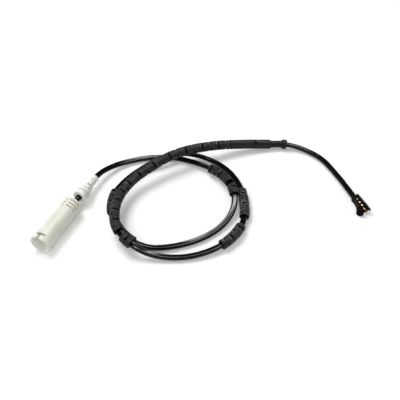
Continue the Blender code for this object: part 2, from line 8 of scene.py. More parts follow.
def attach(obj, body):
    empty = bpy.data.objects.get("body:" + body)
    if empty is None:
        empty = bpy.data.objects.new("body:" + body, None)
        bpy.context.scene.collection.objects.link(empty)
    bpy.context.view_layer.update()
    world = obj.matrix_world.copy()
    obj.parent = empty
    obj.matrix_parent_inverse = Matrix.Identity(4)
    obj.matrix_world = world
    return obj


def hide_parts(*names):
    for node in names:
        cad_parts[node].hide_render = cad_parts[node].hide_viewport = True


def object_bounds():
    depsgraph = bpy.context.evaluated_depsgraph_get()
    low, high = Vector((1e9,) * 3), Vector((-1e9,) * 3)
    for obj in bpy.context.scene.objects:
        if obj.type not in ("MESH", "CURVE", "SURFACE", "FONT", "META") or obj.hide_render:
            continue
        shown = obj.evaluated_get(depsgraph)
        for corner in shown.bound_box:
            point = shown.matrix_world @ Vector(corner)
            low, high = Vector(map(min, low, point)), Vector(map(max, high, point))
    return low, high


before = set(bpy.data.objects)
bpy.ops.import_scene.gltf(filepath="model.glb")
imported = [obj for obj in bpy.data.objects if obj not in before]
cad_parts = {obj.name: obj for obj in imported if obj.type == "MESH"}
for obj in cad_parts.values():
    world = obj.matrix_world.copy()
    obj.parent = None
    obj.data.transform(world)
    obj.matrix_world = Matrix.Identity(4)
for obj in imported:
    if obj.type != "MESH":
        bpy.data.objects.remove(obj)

cad_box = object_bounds()


# The camera stands where the photographer's stood: 45 degrees above the floor, half a metre
# from the middle of the loose turns, with a short portrait lens.
mm = 0.001
picture_centre = Vector((-128.6, -46.9, 0.0)) * mm


def stand(item, azimuth, elevation, away):
    """Put the camera or a lamp so many degrees round and up, facing the middle of the picture."""
    turn = math.radians(azimuth)
    rise = math.radians(elevation)
    back = Vector((math.sin(turn) * math.cos(rise), -math.cos(turn) * math.cos(rise), math.sin(rise)))
    item.location = picture_centre + back * away
    item.rotation_euler = back.to_track_quat("Z", "Y").to_euler()
    bpy.context.scene.collection.objects.link(item)


camera_lens = bpy.data.cameras.new("camera")
camera_lens.sensor_width = 36.0
camera_lens.lens = 54.1
camera_lens.clip_start = 10.0 * mm
camera = bpy.data.objects.new("camera", camera_lens)
stand(camera, azimuth=24.1, elevation=45.0, away=520.0 * mm)
bpy.context.scene.camera = camera


# The cable: two insulated cores side by side under one glossy black PVC jacket, drawn in to a
# shallow groove between them. It lies in two loose turns. Near the plug the jacket is round.
cable_route = (
    (-220.2, -111.5, 8.6), (-220.2, -91.5, 8.6), (-220.2, -65.0, 8.4),
    (-217.5, -49.1, 6.0), (-209.6, -33.5, 3.4), (-193.8, -18.8, 2.5),
    (-173.8, -9.4, 2.5), (-156.7, -7.6, 3.0), (-139.6, -10.2, 5.0),
    (-122.9, -16.3, 7.6), (-108.3, -27.2, 9.6), (-99.2, -40.7, 8.5),
    (-96.4, -55.2, 4.7), (-100.0, -72.7, 2.6), (-109.7, -90.2, 2.5),
    (-124.4, -104.7, 2.5), (-140.6, -113.9, 2.6), (-154.8, -116.0, 4.6),
    (-168.5, -111.3, 4.6), (-181.5, -101.9, 4.5), (-192.1, -88.1, 4.5),
    (-197.5, -70.3, 4.6), (-196.8, -50.4, 2.9), (-190.1, -34.1, 4.6),
    (-180.0, -20.7, 7.8), (-168.0, -7.7, 8.1), (-152.8, 0.5, 4.8),
    (-135.4, 0.9, 2.9), (-117.7, -6.9, 3.4), (-101.4, -22.2, 4.6),
    (-90.2, -40.7, 4.5), (-84.1, -59.4, 4.5), (-85.6, -78.5, 4.9),
    (-93.4, -94.7, 4.0), (-106.5, -107.7, 2.7), (-122.0, -116.7, 2.6),
    (-137.6, -122.0, 5.0), (-150.8, -123.5, 9.8), (-163.4, -119.8, 12.7),
    (-174.7, -110.8, 14.2), (-183.8, -94.2, 13.4), (-187.6, -76.8, 12.6),
    (-186.3, -58.8, 12.5), (-179.6, -41.6, 14.2), (-169.7, -23.6, 16.2),
    (-156.6, -5.7, 15.5), (-138.5, 13.8, 11.7), (-118.5, 29.9, 7.6),
    (-99.5, 42.0, 5.0), (-82.8, 49.5, 4.5), (-65.2, 50.9, 3.0),
    (-46.2, 44.5, 2.6), (-27.4, 28.3, 2.7), (-14.6, 15.1, 3.0),
    (-7.9, 8.05, 3.0),
)
route_steps = 24


def smooth_route():
    """The curve through the route's points, and the distance along it at each of its points."""
    points = [Vector(point) * mm for point in cable_route]
    points = [2.0 * points[0] - points[1]] + points + [2.0 * points[-1] - points[-2]]
    curve = []
    for i in range(1, len(points) - 2):
        before, start, end, after = points[i - 1:i + 3]
        for step in range(route_steps):
            t = step / route_steps
            pull = (end - before) * t + (2.0 * before - 5.0 * start + 4.0 * end - after) * t ** 2
            swing = (3.0 * start - before - 3.0 * end + after) * t ** 3
            curve.append(start + 0.5 * (pull + swing))
    curve.append(points[-2])
    gone = [0.0]
    for i in range(1, len(curve)):
        gone.append(gone[-1] + (curve[i] - curve[i - 1]).length)
    return curve, gone


route_curve, route_gone = smooth_route()
cable_length = route_gone[-1]


def on_cable(distance):
    """Axes at a distance along the cable: to its left, up, and along it."""
    low, high = 0, len(route_gone) - 1
    while high - low > 1:
        middle = (low + high) // 2
        if route_gone[middle] <= distance:
            low = middle
        else:
            high = middle
    share = (distance - route_gone[low]) / (route_gone[high] - route_gone[low])
    first = max(0, low - 1)
    last = min(len(route_curve) - 1, high + 1)
    along_start = (route_curve[high] - route_curve[first]).normalized()
    along_end = (route_curve[last] - route_curve[low]).normalized()
    along = along_start.lerp(along_end, share).normalized()
    left = Vector((0.0, 0.0, 1.0)).cross(along).normalized()
    place = Matrix((left, along.cross(left), along)).transposed().to_4x4()
    place.translation = route_curve[low].lerp(route_curve[high], share)
    return place


def piece_from(name, shape, sharp_angle=35.0):
    """A shown piece from a bmesh, with its faces turned out and shaded smooth but for its edges."""
    shape.normal_update()
    bmesh.ops.recalc_face_normals(shape, faces=shape.faces)
    mesh = bpy.data.meshes.new(name)
    shape.to_mesh(mesh)
    shape.free()
    mesh.shade_smooth()
    mesh.set_sharp_from_angle(angle=math.radians(sharp_angle))
    piece = bpy.data.objects.new(name, mesh)
    bpy.context.scene.collection.objects.link(piece)
    return piece


def skin(name, rings, ends="capped", sharp_angle=35.0):
    """A surface through rings of points. Its ends are capped, or joined to each other."""
    shape = bmesh.new()
    loops = [[shape.verts.new(point) for point in ring] for ring in rings]
    count = len(loops[0])
    first = 0 if ends == "joined" else 1
    for i in range(first, len(loops)):
        for j in range(count):
            shape.faces.new((loops[i - 1][j - 1], loops[i - 1][j], loops[i][j], loops[i][j - 1]))
    if ends == "capped":
        shape.faces.new(loops[0])
        shape.faces.new(list(reversed(loops[-1])))
    return piece_from(name, shape, sharp_angle)


def dress(piece, material):
    """Give a piece one finish."""
    piece.data.materials.clear()
    piece.data.materials.append(material)


def add_node(tree, kind, inputs=None, **settings):
    """A shader node. An input that is given another node's output is linked to it."""
    node = tree.nodes.new(kind)
    for name, value in settings.items():
        setattr(node, name, value)
    for name, value in (inputs or {}).items():
        if isinstance(value, bpy.types.NodeSocket):
            tree.links.new(value, node.inputs[name])
        else:
            node.inputs[name].default_value = value
    return node


def start_finish(name, roughness, metallic=0.0, specular=0.5):
    """A new material: its tree, its shader and the object's own coordinates in metres."""
    material = bpy.data.materials.new(name)
    material.use_nodes = True
    tree = material.node_tree
    shader = tree.nodes["Principled BSDF"]
    shader.inputs["Roughness"].default_value = roughness
    shader.inputs["Metallic"].default_value = metallic
    shader.inputs["Specular IOR Level"].default_value = specular
    where = add_node(tree, "ShaderNodeTexCoord").outputs["Object"]
    return material, tree, shader, where


def mottle(tree, where, size, detail=4.0, roughness=0.55):
    """Noise whose patches are about so large, in metres."""
    return add_node(tree, "ShaderNodeTexNoise", {
        "Vector": where, "Scale": 1.0 / size, "Detail": detail, "Roughness": roughness,
    }).outputs["Fac"]


def shade(tree, factor, *stops):
    """A colour ramp: each stop is a place from 0 to 1 and a colour."""
    ramp = add_node(tree, "ShaderNodeValToRGB", {"Fac": factor})
    elements = ramp.color_ramp.elements
    while len(elements) < len(stops):
        elements.new(0.5)
    for element, (place, colour) in zip(elements, stops):
        element.position = place
        element.color = (*colour, 1.0)
    return ramp.outputs["Color"]


def span(tree, factor, low, high, from_low=0.3, from_high=0.7):
    """A factor stretched to run from low to high."""
    return add_node(tree, "ShaderNodeMapRange", {
        "Value": factor, "From Min": from_low, "From Max": from_high, "To Min": low, "To Max": high,
    }).outputs["Result"]


def blend_colours(tree, factor, first, second):
    """Two colours mixed by a factor."""
    mix = add_node(tree, "ShaderNodeMix", data_type="RGBA")
    for socket, value in ((mix.inputs[0], factor), (mix.inputs[6], first), (mix.inputs[7], second)):
        if isinstance(value, bpy.types.NodeSocket):
            tree.links.new(value, socket)
        else:
            socket.default_value = (*value, 1.0)
    return mix.outputs[2]


def raise_surface(tree, shader, height, depth, strength=1.0):
    """Small relief from a height from 0 to 1, so deep in metres."""
    bump = add_node(tree, "ShaderNodeBump", {"Height": height, "Distance": depth, "Strength": strength})
    tree.links.new(bump.outputs["Normal"], shader.inputs["Normal"])


def jacket_finish():
    """Glossy black PVC with a fine grain and faint lines drawn along it by the die."""
    material, tree, shader, where = start_finish("jacket_gloss", 0.16, specular=0.3)
    cloud = mottle(tree, where, 9.0 * mm)
    grain = mottle(tree, where, 0.45 * mm, 3.0)
    tree.links.new(shade(tree, cloud, (0.3, (0.001, 0.001, 0.001)), (0.75, (0.004, 0.0038, 0.0036))),
                   shader.inputs["Base Color"])
    tree.links.new(span(tree, cloud, 0.12, 0.22), shader.inputs["Roughness"])
    around = add_node(tree, "ShaderNodeAttribute", attribute_name="around").outputs["Fac"]
    drawn = add_node(tree, "ShaderNodeTexNoise", {"W": around, "Scale": 18.0, "Detail": 1.0},
                     noise_dimensions="1D").outputs["Fac"]
    relief = add_node(tree, "ShaderNodeMath", {0: drawn, 1: grain}, operation="ADD").outputs["Value"]
    raise_surface(tree, shader, relief, 0.02 * mm, 0.4)
    return material


cable_diameter = 4.8 * mm
core_offset = 0.97 * mm
core_spread = 0.22 * mm
groove_dip = 0.24
groove_spread = 0.42
slow_roll = math.radians(14.0)
quick_roll = math.radians(9.0)
slow_roll_length = 41.0 * mm
quick_roll_length = 17.0 * mm
cable_sides = 32
cable_step = 1.6 * mm
cable_flatness = ((0.0, 0.0), (46.0, 0.0), (74.0, 0.45), (640.0, 0.5), (905.0, 0.5),
                  (930.0, 0.35), (1100.0, 0.35))


def jacket_ring(distance):
    """The jacket's section: round at the plug, then two cores with a groove between them."""
    place = on_cable(distance)
    after = next(i for i, stop in enumerate(cable_flatness) if stop[0] * mm > distance)
    low, high = cable_flatness[after - 1], cable_flatness[after]
    share = (distance / mm - low[0]) / (high[0] - low[0])
    flat = low[1] + (high[1] - low[1]) * share * share * (3.0 - 2.0 * share)
    grooved = min(1.0, flat * 2.0)
    half = cable_diameter / 2.0 - core_offset * flat
    offset = core_offset * flat + core_spread * grooved
    bridge = half * (1.0 - groove_dip * grooved)
    roll = slow_roll * math.sin(distance / slow_roll_length)
    roll += quick_roll * math.sin(distance / quick_roll_length + 1.0)
    points = []
    for i in range(cable_sides):
        turn = math.tau * i / cable_sides
        side = math.copysign(1.0, math.cos(turn)) if abs(math.cos(turn)) > 0.05 else 0.0
        x = offset * side + half * math.cos(turn)
        dip = math.exp(-(x / (groove_spread * half)) ** 2)
        y = half * math.sin(turn) * (1.0 - dip) + math.copysign(bridge, math.sin(turn)) * dip
        if abs(math.sin(turn)) < 0.5:
            y = half * math.sin(turn)
        point = place @ Matrix.Rotation(roll, 4, "Z") @ Vector((x, y, 0.0))
        point.y = min(point.y, cad_box[1][1])
        points.append(point)
    return points


cable_count = int(cable_length / cable_step)
cable_stops = [cable_length * i / cable_count for i in range(cable_count + 1)]
cable_path = [on_cable(distance).translation for distance in cable_stops]
cable = skin("cable_jacket", [jacket_ring(distance) for distance in cable_stops], sharp_angle=60.0)
around = cable.data.attributes.new("around", "FLOAT", "POINT")
for i in range(len(cable.data.vertices)):
    around.data[i].value = (i % cable_sides) / cable_sides
dress(cable, jacket_finish())
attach(cable, "root")
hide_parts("cable")


# The plug's shell: one off-white nylon moulding, open at the front, with a thin wall, a T-shaped
# bayonet slot in the top of the mouth, three keys low inside its bore, whose paler colour is painted
# bounced light, and three rows of finger grooves at the rear, each broken into four by plain webs.
plug_mouth = Vector((-220.2, -151.9, 8.6)) * mm
plug_length = 50.0 * mm
plug_radius = 8.55 * mm
plug_rear_radius = 7.9 * mm
plug_wall = 1.1 * mm
plug_bore = plug_radius - plug_wall
carrier_seat = 35.0 * mm
seal_housing = 5.2 * mm
rear_round = 1.3 * mm
rear_edge = plug_length - rear_round
overcut = 1.0 * mm


def in_plug(back):
    """Axes at a distance behind the plug's mouth: right, down, and back."""
    place = Matrix.Rotation(math.radians(-90.0), 4, "X")
    place.translation = plug_mouth + Vector((0.0, back, 0.0))
    return place


def turned(name, place, profile, sides, sharp_angle=35.0):
    """A closed profile of (radius, height) turned about the third axis of a place."""
    rings = []
    for radius, height in profile:
        turns = [math.tau * i / sides for i in range(sides)]
        rings.append([place @ Vector((radius * math.cos(t), radius * math.sin(t), height)) for t in turns])
    return skin(name, rings, "joined", sharp_angle)


def rounded(corner_before, corner, corner_after, radius, steps=4):
    """A corner of a profile drawn as an arc."""
    before = (Vector(corner_before) - Vector(corner)).normalized() * radius
    after = (Vector(corner_after) - Vector(corner)).normalized() * radius
    points = []
    for i in range(steps + 1):
        t = i / steps
        spot = Vector(corner) + before * (1.0 - t) ** 2 + after * t ** 2
        points.append((spot.x, spot.y))
    return points


def add_block(shape, place, low, high):
    """Add a block between two corners, in the axes of a place, to a shape."""
    for corner in bmesh.ops.create_cube(shape, size=1.0)["verts"]:
        corner.co = place @ Vector([low[i] if corner.co[i] < 0.0 else high[i] for i in range(3)])


def block_cutter(name, place, low, high):
    """One such block as a piece of its own, for cutting or joining."""
    shape = bmesh.new()
    add_block(shape, place, low, high)
    return piece_from(name, shape)


def outline_block(name, place, outline, low, high):
    """An outline in the first two axes of a place, raised along the third."""
    rings = [[place @ Vector((x, y, height)) for x, y in outline] for height in (low, high)]
    return skin(name, rings)


def shape_with(piece, tool, operation="DIFFERENCE"):
    """Cut a piece with a tool, or join the tool on, and throw the tool away."""
    step = piece.modifiers.new(tool.name, "BOOLEAN")
    step.operation = operation
    step.solver = "EXACT"
    step.object = tool
    apply_steps(piece)
    bpy.data.objects.remove(tool, do_unlink=True)


def apply_steps(piece):
    """Bake a piece's modifiers into its mesh."""
    graph = bpy.context.evaluated_depsgraph_get()
    made = bpy.data.meshes.new_from_object(piece.evaluated_get(graph))
    piece.modifiers.clear()
    piece.data = made


def smooth_but_edges(piece, sharp_angle):
    """Shade a piece smooth except along its sharp edges."""
    piece.data.shade_smooth()
    piece.data.set_sharp_from_angle(angle=math.radians(sharp_angle))


def soften_edges(piece, width, angle=40.0, segments=2):
    """Round a piece's sharp edges by so much."""
    step = piece.modifiers.new("soft_edges", "BEVEL")
    step.width = width
    step.segments = segments
    step.limit_method = "ANGLE"
    step.angle_limit = math.radians(angle)
    step.use_clamp_overlap = True
    apply_steps(piece)
    smooth_but_edges(piece, 50.0)


def moulded_finish(name, low_colour, high_colour, roughness, relief):
    """Off-white nylon: cloudy, faintly translucent and finely grained, with painted shade darkening its
    recesses.

    A surface marked as inside, such as the plug's bore, is painted paler, standing in for light bounced round
    inside it.
    """
    material, tree, shader, where = start_finish(name, roughness, specular=0.3)
    cloud = mottle(tree, where, 14.0 * mm)
    grain = mottle(tree, where, 0.5 * mm, 3.0)
    base = shade(tree, cloud, (0.32, low_colour), (0.68, high_colour))
    # Painted shade: where the surface curves inward, the colour is darkened to a deeper tone of the nylon.
    edge = add_node(tree, "ShaderNodeNewGeometry").outputs["Pointiness"]
    recess_shade_mask = span(tree, edge, 1.0, 0.0, 0.44, 0.49)
    recess_shade_colour = tuple(part * 0.62 for part in low_colour)
    inside = add_node(tree, "ShaderNodeAttribute", attribute_name="inside").outputs["Fac"]
    # Painted light: the bore is blended to a paler colour, standing in for light bounced round inside it.
    base = blend_colours(tree, inside, base, (0.94, 0.93, 0.87))
    tree.links.new(blend_colours(tree, recess_shade_mask, base, recess_shade_colour), shader.inputs["Base Color"])
    tree.links.new(span(tree, cloud, roughness - 0.06, roughness + 0.07), shader.inputs["Roughness"])
    shader.inputs["Subsurface Weight"].default_value = 0.15
    shader.inputs["Subsurface Radius"].default_value = (1.0, 0.95, 0.85)
    shader.inputs["Subsurface Scale"].default_value = 1.0 * mm
    raise_surface(tree, shader, grain, relief, 0.6)
    return material


taper_steps = 12
round_steps = 8
seal_chamfer = 0.2 * mm
shell_profile = rounded((plug_bore, rear_edge), (plug_bore, 0.0), (plug_radius, 0.0), 0.30 * mm)
shell_profile += rounded((plug_bore, 0.0), (plug_radius, 0.0), (plug_radius, rear_edge), 0.40 * mm)
for i in range(1, taper_steps + 1):
    share = i / taper_steps
    shell_profile.append((plug_radius + (plug_rear_radius - plug_radius) * share, rear_edge * share))
for i in range(1, round_steps + 1):
    turn = math.radians(90.0) * i / round_steps
    shell_profile.append((plug_rear_radius - rear_round * (1.0 - math.cos(turn)),
                          rear_edge + rear_round * math.sin(turn)))
shell_profile += [(seal_housing + seal_chamfer, plug_length), (seal_housing, plug_length - seal_chamfer)]
shell_profile += [(seal_housing, carrier_seat), (plug_bore, carrier_seat)]
shell_profile += [(plug_bore, back * mm) for back in (28, 22, 16, 10, 5)]
plug_shell = turned("plug_shell_moulding", in_plug(0.0), shell_profile, 96)

tee_back = 3.9 * mm
tee_end = tee_back + 2.2 * mm
tee_bar_half = 3.85 * mm
tee_stem_half = 1.1 * mm
tee_corner = 0.5 * mm
tee_bends = ((tee_stem_half, 0.0), (tee_stem_half, tee_back), (tee_bar_half, tee_back),
             (tee_bar_half, tee_end), (0.0, tee_end))
tee_side = [(tee_stem_half, -overcut)]
for i in range(3):
    tee_side += rounded(*tee_bends[i:i + 3], tee_corner)
tee_outline = tee_side + [(-x, y) for x, y in reversed(tee_side)]
plug_top = Matrix.Translation(plug_mouth)
shape_with(plug_shell, outline_block("tee", plug_top, tee_outline, plug_bore - 2.0 * plug_wall,
                                     plug_radius + overcut))

groove_half = 0.5 * mm
groove_flare = 0.25 * mm
groove_floor = plug_rear_radius - 1.0 * mm
groove_pitch = 3.4 * mm
first_groove = 39.6 * mm + groove_half
groove_arc = math.radians(70.0)
groove_steps = 14
groove_cutter = bmesh.new()
for row in range(3):
    for quarter in range(4):
        middle = math.radians(-50.0 + 90.0 * quarter)
        ends = []
        for radius, widen in ((groove_floor, 0.0), (plug_radius + overcut, groove_flare)):
            for side in (-1.0, 1.0):
                height = first_groove + groove_pitch * row + side * (groove_half + widen)
                arc = []
                for i in range(groove_steps + 1):
                    turn = middle + groove_arc * (i / groove_steps - 0.5)
                    spot = Vector((radius * math.cos(turn), radius * math.sin(turn), height))
                    arc.append(groove_cutter.verts.new(in_plug(0.0) @ spot))
                ends.append(arc)
        low_front, low_rear, high_front, high_rear = ends
        for first, second in ((low_front, low_rear), (low_rear, high_rear), (high_rear, high_front),
                              (high_front, low_front)):
            for i in range(groove_steps):
                groove_cutter.faces.new((first[i], first[i + 1], second[i + 1], second[i]))
        for i in (0, groove_steps):
            groove_cutter.faces.new([arc[i] for arc in (low_front, low_rear, high_rear, high_front)])
shape_with(plug_shell, piece_from("grooves", groove_cutter))

key_half = 0.55 * mm
key_height = 0.7 * mm
key_start = 1.2 * mm
key_length = 11.0 * mm
for key_angle in (28.0, 52.0, 76.0):
    place = in_plug(key_start) @ Matrix.Rotation(math.radians(key_angle), 4, "Z")
    key = block_cutter("key", place, (plug_bore - key_height, -key_half, 0.0),
                       (plug_bore + plug_wall / 2.0, key_half, key_length))
    shape_with(plug_shell, key, "UNION")
smooth_but_edges(plug_shell, 40.0)
# Painted light: mark the bore's surface, which the finish paints paler as bounced light.
inside = plug_shell.data.attributes.new("inside", "FLOAT", "POINT")
for i, vertex in enumerate(plug_shell.data.vertices):
    away = vertex.co - plug_mouth
    in_bore = away.y < carrier_seat and math.hypot(away.x, away.z) < plug_bore + 0.15 * mm
    inside.data[i].value = 1.0 if in_bore else 0.0
dress(plug_shell, moulded_finish("plug_nylon", (0.74, 0.73, 0.63), (0.83, 0.82, 0.735), 0.40, 0.03 * mm))
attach(plug_shell, "root")
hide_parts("plug_shell")


# Inside the plug: a moulded disc carries two brass contacts, and a rubber seal closes the rear
# round the cable. They lie deep inside, so the modelled solids are shown, each in its own finish.
def brass_finish():
    """Bright rolled brass, a little streaked and tarnished."""
    material, tree, shader, where = start_finish("spring_brass", 0.28, metallic=1.0)
    tarnish = mottle(tree, where, 2.2 * mm)
    streaks = mottle(tree, where, 0.25 * mm, 2.0)
    tree.links.new(shade(tree, tarnish, (0.35, (0.66, 0.38, 0.17)), (0.7, (0.86, 0.60, 0.32))),
                   shader.inputs["Base Color"])
    tree.links.new(span(tree, streaks, 0.20, 0.40), shader.inputs["Roughness"])
    raise_surface(tree, shader, streaks, 0.012 * mm, 0.5)
    return material


def rubber_finish(name, low_colour, high_colour):
    """Matt rubber with a slightly bloomed, grainy skin."""
    material, tree, shader, where = start_finish(name, 0.48, specular=0.16)
    bloom = mottle(tree, where, 3.5 * mm)
    grain = mottle(tree, where, 0.3 * mm, 4.0)
    tree.links.new(shade(tree, bloom, (0.3, low_colour), (0.75, high_colour)), shader.inputs["Base Color"])
    tree.links.new(span(tree, grain, 0.38, 0.58), shader.inputs["Roughness"])
    raise_surface(tree, shader, grain, 0.02 * mm, 0.7)
    return material


brass = brass_finish()
grommet_rubber = rubber_finish("grommet_rubber", (0.008, 0.0077, 0.0073), (0.018, 0.0175, 0.0165))
carrier_nylon = moulded_finish("carrier_nylon", (0.72, 0.71, 0.65), (0.80, 0.79, 0.74), 0.5, 0.02 * mm)
for node, material in (("contact_carrier", carrier_nylon), ("contact_pin_a", brass),
                       ("contact_pin_b", brass), ("rear_seal", grommet_rubber)):
    dress(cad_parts[node], material)


# The boot: a white nylon ring with an open mouth round the cable, and behind a stepped joint a
# tapered boot with a slot through its wall, three ejector dimples and a plain tail. Both are
# mouldings that are threaded on the cable.
def on_route(name, profile, sides, sharp_angle=35.0):
    """A closed profile of (distance along the cable, radius) carried round the cable."""
    rings = []
    for distance, radius in profile:
        place = on_cable(distance)
        turns = [math.tau * i / sides for i in range(sides)]
        rings.append([place @ Vector((radius * math.cos(t), radius * math.sin(t), 0.0)) for t in turns])
    return skin(name, rings, "joined", sharp_angle)


def drill(name, distance, tilt, half_across, half_along, floor, top, sides=16):
    """An oval cutter square to the cable, tilted so many degrees to its right."""
    place = on_cable(distance) @ Matrix.Rotation(math.radians(tilt), 4, "Z")
    place = place @ Matrix.Rotation(math.radians(-90.0), 4, "X")
    turns = [math.tau * i / sides for i in range(sides)]
    outline = [(half_across * math.cos(turn), half_along * math.sin(turn)) for turn in turns]
    return outline_block(name, place, outline, floor, top)


cable_hole = 2.79 * mm
boot_start = 17.9 * mm
ring_length = 4.7 * mm
ring_radius = 6.0 * mm
ring_end = boot_start + ring_length
joint_gap = 0.3 * mm
boot_sides = 72
ring_bends = ((ring_end, cable_hole), (boot_start, cable_hole), (boot_start, ring_radius),
              (ring_end, ring_radius), (ring_end, cable_hole))
ring_profile = rounded(*ring_bends[0:3], 0.3 * mm)
ring_profile += rounded(*ring_bends[1:4], 0.9 * mm, 6)
ring_profile += rounded(*ring_bends[2:5], 0.35 * mm)
ring_profile.append(ring_bends[4])
boot_ring = on_route("boot_ring_moulding", ring_profile, boot_sides, 40.0)

cone_start = ring_end + joint_gap
cone_end = cone_start + 12.1 * mm
cone_steps = 12
tail_end = cone_end + 9.4 * mm
tail_radius = 3.4 * mm
step_back = cone_start + 0.5 * mm
step_floor = ring_radius - 1.5 * mm
belly_share = 0.25
cone_profile = [(cone_start, step_floor), (step_back, step_floor)]
cone_profile += rounded((step_back, cable_hole), (step_back, ring_radius), (cone_end, ring_radius), 0.3 * mm)
for i in range(1, cone_steps + 1):
    share = i / cone_steps
    belly = ring_radius * (1.0 - 0.04 * min(1.0, share / belly_share))
    fall = max(0.0, share - belly_share) / (1.0 - belly_share)
    fall = 0.6 * fall + 0.4 * fall * fall * (3.0 - 2.0 * fall)
    cone_profile.append((cone_start + (cone_end - cone_start) * share,
                         belly - (belly - tail_radius * 1.12) * fall))
cone_profile += [(cone_end + 0.5 * mm, tail_radius * 1.05), (tail_end - 2.0 * mm, tail_radius)]
cone_profile += rounded((cone_end, tail_radius), (tail_end, tail_radius), (tail_end, cable_hole), 0.3 * mm)
cone_profile += [(tail_end, cable_hole), (cone_start, cable_hole)]
cable_boot = on_route("cable_boot_moulding", cone_profile, boot_sides, 40.0)

boot_slot = on_cable(ring_end + 9.4 * mm) @ Matrix.Rotation(math.radians(34.0), 4, "Z")
boot_slot_half = 1.7 * mm
boot_slot_floor = cable_hole - 0.8 * mm
boot_slot_width = 1.3 * mm
shape_with(cable_boot, block_cutter(
    "slot", boot_slot, (-boot_slot_half, boot_slot_floor, -boot_slot_width / 2.0),
    (boot_slot_half, ring_radius + overcut, boot_slot_width / 2.0)))
for back, tilt, radius, floor in ((3.9 * mm, 13.0, 0.7 * mm, 4.5 * mm), (5.4 * mm, 42.0, 0.65 * mm, 4.3 * mm),
                                  (16.4 * mm, 20.0, 0.9 * mm, 2.9 * mm)):
    dimple = drill("dimple", ring_end + back, tilt, radius, radius, floor, ring_radius + overcut)
    shape_with(cable_boot, dimple)
boot_nylon = moulded_finish("boot_nylon", (0.84, 0.83, 0.775), (0.90, 0.89, 0.835), 0.42, 0.02 * mm)
for piece, node in ((boot_ring, "boot_ring"), (cable_boot, "cable_boot")):
    smooth_but_edges(piece, 40.0)
    dress(piece, boot_nylon)
    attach(piece, "root")
    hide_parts(node)


# The guard sleeves: lengths of stiff dark grey tube threaded on the cable, sawn part-way through
# from both sides, each pair of slots a quarter turn from the last, so that they bend with it.
# The saw leaves pale, ragged edges, painted partly as burrs and partly as highlights, the slot walls
# are painted near black as shade, and the long sleeve is stretched and twisted a little.
sleeve_radius = 4.25 * mm
sleeve_bore = 2.9 * mm
sleeve_sides = 40
slot_pitch = 5.85 * mm
slot_pitch_wide = 8.25 * mm
slot_wide_from = 763.0 * mm
slot_end_wall = 2.6 * mm
slot_width = 1.9 * mm
slot_floor = 2.2 * mm
slot_twist = math.radians(0.25) / mm
uneven_size = 6.0 * mm
uneven_height = 0.04 * mm
ring_step = 1.5 * mm
sleeve_stations = (
    ("sleeve_inner_right", 165.4 * mm, 193.4 * mm, 174.4 * mm, 35.0),
    ("collar_inner_right", 198.6 * mm, 208.0 * mm, 201.6 * mm, 60.0),
    ("sleeve_inner_front", 320.8 * mm, 345.6 * mm, 327.0 * mm, 90.0),
    ("sleeve_inner_left", 360.2 * mm, 385.0 * mm, 370.4 * mm, 45.0),
    ("sleeve_outer_right", 541.6 * mm, 572.6 * mm, 559.6 * mm, 68.0),
    ("sleeve_outer_front", 584.0 * mm, 609.8 * mm, 588.3 * mm, 53.0),
    ("collar_outer_front", 686.0 * mm, 695.0 * mm, 690.4 * mm, 90.0),
    ("sleeve_long", 701.2 * mm, 866.0 * mm, 711.3 * mm, 100.0),
)


def tube_profile(start, end, outer, inner, edge, step):
    """The closed profile of a tube on the cable, with softened ends and a ring at every step."""
    stops = max(2, int((end - start) / step))
    middle = [start + (end - start) * i / stops for i in range(1, stops)]
    profile = rounded((start, inner), (start, outer), (end, outer), edge, 2)
    profile += [(distance, outer) for distance in middle]
    profile += rounded((start, outer), (end, outer), (end, inner), edge, 2)
    profile.append((end, inner))
    profile += [(distance, inner) for distance in reversed(middle)]
    profile.append((start, inner))
    return profile


def sleeve_finish():
    """Dull dark grey plastic, scuffed, with pale burrs and painted highlights along its saw cuts and painted
    shade, near black, inside them.
    """
    material, tree, shader, where = start_finish("sleeve_plastic", 0.58, specular=0.2)
    cloud = mottle(tree, where, 5.0 * mm)
    speck = mottle(tree, where, 0.7 * mm, 5.0, 0.7)
    scuff = mottle(tree, where, 1.6 * mm, 6.0, 0.75)
    base = shade(tree, cloud, (0.30, (0.009, 0.0087, 0.008)), (0.72, (0.034, 0.033, 0.030)))
    scuffed = blend_colours(tree, span(tree, scuff, 0.0, 0.7, 0.56, 0.70), base, (0.075, 0.072, 0.067))
    edge = add_node(tree, "ShaderNodeNewGeometry").outputs["Pointiness"]
    # Painted highlight, partly real burrs: sharp edges along the saw cuts are painted pale in patches,
    # standing in for glints of light on the slot edges.
    burr_and_glint = add_node(tree, "ShaderNodeMath", {
        0: span(tree, edge, 0.0, 1.0, 0.55, 0.64), 1: span(tree, scuff, 0.1, 1.0, 0.46, 0.56),
    }, operation="MULTIPLY").outputs["Value"]
    pale = blend_colours(tree, burr_and_glint, scuffed, (0.16, 0.155, 0.145))
    # Painted shade: surfaces below the tube's outside, such as the slot walls, are darkened to near black.
    deep = add_node(tree, "ShaderNodeAttribute", attribute_name="deep").outputs["Fac"]
    tree.links.new(blend_colours(tree, span(tree, deep, 0.0, 1.0, 0.0, 0.3), pale, (0.002, 0.002, 0.002)),
                   shader.inputs["Base Color"])
    tree.links.new(span(tree, speck, 0.46, 0.72), shader.inputs["Roughness"])
    raise_surface(tree, shader, speck, 0.07 * mm, 0.8)
    return material


def slot_spots(start, end, marked):
    """Places of the slots on both sides of the marked one, with their quarter turns."""
    spots = []
    distance, quarters = marked, 0
    while distance > start + slot_end_wall:
        spots.append((distance, quarters))
        distance -= slot_pitch
        quarters += 1
    distance, quarters = marked + slot_pitch, 1
    while distance < end - slot_end_wall:
        spots.append((distance, quarters))
        distance += slot_pitch if distance < slot_wide_from else slot_pitch_wide
        quarters += 1
    return spots


